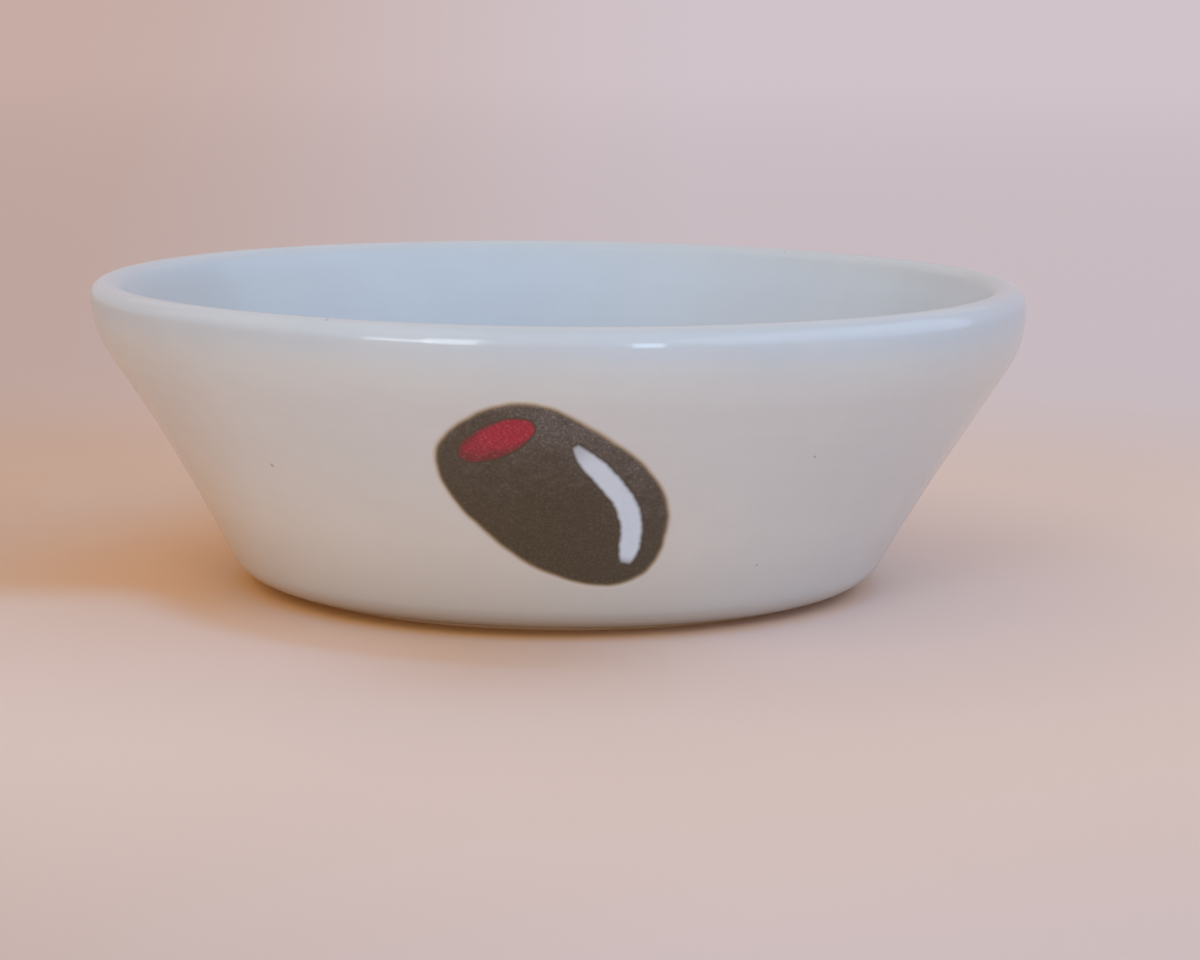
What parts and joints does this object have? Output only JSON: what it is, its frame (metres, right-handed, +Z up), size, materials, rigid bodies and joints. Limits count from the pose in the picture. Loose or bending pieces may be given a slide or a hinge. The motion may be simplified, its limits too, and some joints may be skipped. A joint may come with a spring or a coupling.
{
  "type": "olive dish",
  "caption": "Small round ceramic dish with a flared wall, rounded lip and turned foot ring, glazed, with a stuffed olive painted on its front.",
  "frame": {"origin": "middle of the foot ring, on the surface that the dish stands on", "axes": "+Z up along the dish's own axis; the painted olive is on the -Y side"},
  "size_m": [0.11, 0.11, 0.036],
  "materials": {
    "bare_clay": "unglazed stoneware, fine tooth",
    "liner_glaze": "glossy pale blue white glaze",
    "wall_glaze": "glossy warm white glaze",
    "dark_paint": "satin dark brown ceramic paint",
    "red_paint": "satin red ceramic paint",
    "pale_paint": "satin pale ceramic paint"
  },
  "bodies": {
    "root": {"clay_body": "bare_clay", "inner_glaze": "liner_glaze", "outer_glaze": "wall_glaze", "olive_paint": "dark_paint", "pimento_paint": "red_paint", "shine_paint": "pale_paint"}
  },
  "joints": []
}
